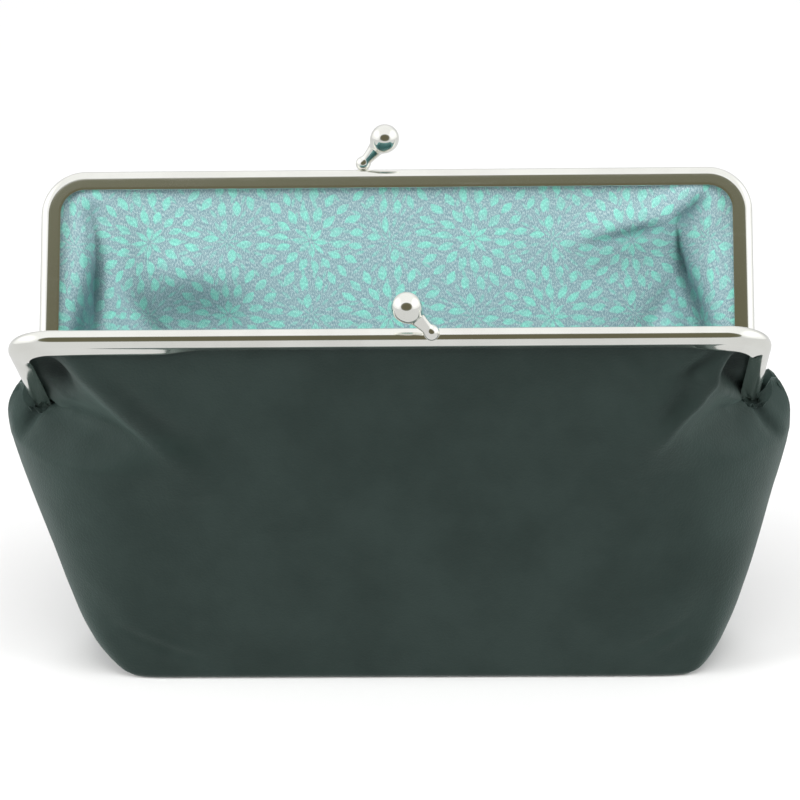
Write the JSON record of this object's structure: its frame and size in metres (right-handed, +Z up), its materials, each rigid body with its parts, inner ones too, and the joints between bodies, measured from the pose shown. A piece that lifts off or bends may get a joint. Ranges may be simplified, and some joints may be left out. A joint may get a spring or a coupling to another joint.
{
  "type": "cosmetic bag",
  "caption": "Lined leather cosmetic bag with a hinged metal purse frame and ball locks, standing open on a flat base.",
  "frame": {"origin": "the middle of the flat base, on the surface that the bag stands on, level with the side seams", "axes": "+X runs across the bag to its right as seen from the front, -Y is the front and +Z is up"},
  "size_m": [0.2166, 0.0987, 0.1429],
  "materials": {
    "nickel": "polished nickel plate",
    "leather": "smooth satin leather with a fine grain, dark green grey",
    "lining": "printed woven lining cloth, mint petals on grey blue",
    "interlining": "thin white bonded interlining",
    "paper_cord": "twisted brown paper cord",
    "board": "grey brown board"
  },
  "bodies": {
    "pouch": {"front_leather_panel": "leather", "rear_leather_panel": "leather", "front_interlining": "interlining", "rear_interlining": "interlining", "front_lining_panel": "lining", "rear_lining_panel": "lining", "base_board": "board", "left_hinge_rivet": "nickel", "right_hinge_rivet": "nickel"},
    "front_half": {"front_frame": "nickel", "front_lock_ball": "nickel", "front_packing_cord": "paper_cord", "front_leather_top": "leather", "front_lining_top": "lining"},
    "rear_half": {"rear_frame": "nickel", "rear_lock_ball": "nickel", "rear_packing_cord": "paper_cord", "rear_leather_top": "leather", "rear_lining_top": "lining"}
  },
  "joints": [
    {"name": "front_half_hinge", "type": "hinge", "parent": "pouch", "child": "front_half", "pos_m": [0, 0, 0.074], "axis": [1, 0, 0], "range_deg": [-54, 0]},
    {"name": "rear_half_hinge", "type": "hinge", "parent": "pouch", "child": "rear_half", "pos_m": [0, 0, 0.074], "axis": [1, 0, 0], "range_deg": [0, 30]}
  ]
}
